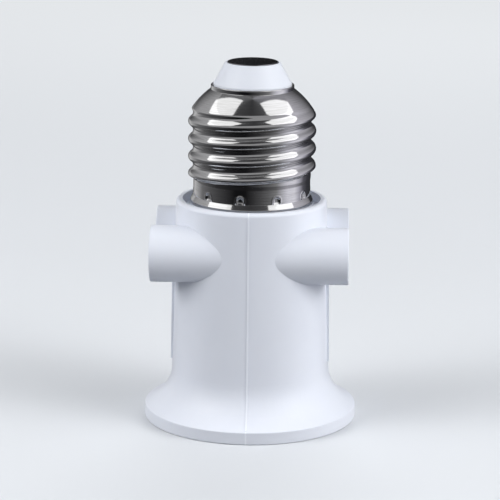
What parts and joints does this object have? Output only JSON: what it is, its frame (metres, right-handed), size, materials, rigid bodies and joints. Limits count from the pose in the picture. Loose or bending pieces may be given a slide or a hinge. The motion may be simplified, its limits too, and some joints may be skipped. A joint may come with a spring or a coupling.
{
  "type": "plug in lamp holder",
  "caption": "Lamp holder with a screw cap on top, pin outlets on round side tubes and a screw lamp socket inside its bell-shaped foot.",
  "frame": {"origin": "on the axis, in the plane of the flange's underside, where the lamp goes in", "axes": "+Z along the axis towards the screw cap; the plug outlets open towards -X and +X; the mould's parting line runs down the -Y and +Y sides"},
  "size_m": [0.044, 0.044, 0.0748],
  "materials": {
    "white_plastic": "moulded, satin gloss",
    "insulator_plastic": "moulded, satin",
    "nickel_plate": "rolled sheet brass, bright nickel plate",
    "contact_plate": "stamped, dull nickel plate",
    "contact_brass": "stamped, bare",
    "rivet_brass": "bare",
    "base_plastic": "compression moulded, matt",
    "screw_steel": "zinc plated",
    "lead_insulation": "extruded sleeve"
  },
  "bodies": {
    "root": {"housing": "white_plastic", "cap_shell": "nickel_plate", "cap_insulator": "insulator_plastic", "cap_contact": "contact_plate", "contact_carrier": "base_plastic", "line_bar": "contact_brass", "neutral_bar": "contact_brass", "left_line_clip": "contact_brass", "left_neutral_clip": "contact_brass", "right_line_clip": "contact_brass", "right_neutral_clip": "contact_brass", "clip_rivets": "rivet_brass", "line_strap": "contact_brass", "neutral_strap": "contact_brass", "socket_base": "base_plastic", "socket_shell": "nickel_plate", "centre_tongue": "contact_brass", "tongue_rivet": "rivet_brass", "shell_rivets": "rivet_brass", "base_screws": "screw_steel", "line_lead": "lead_insulation", "neutral_lead": "lead_insulation"}
  },
  "joints": []
}
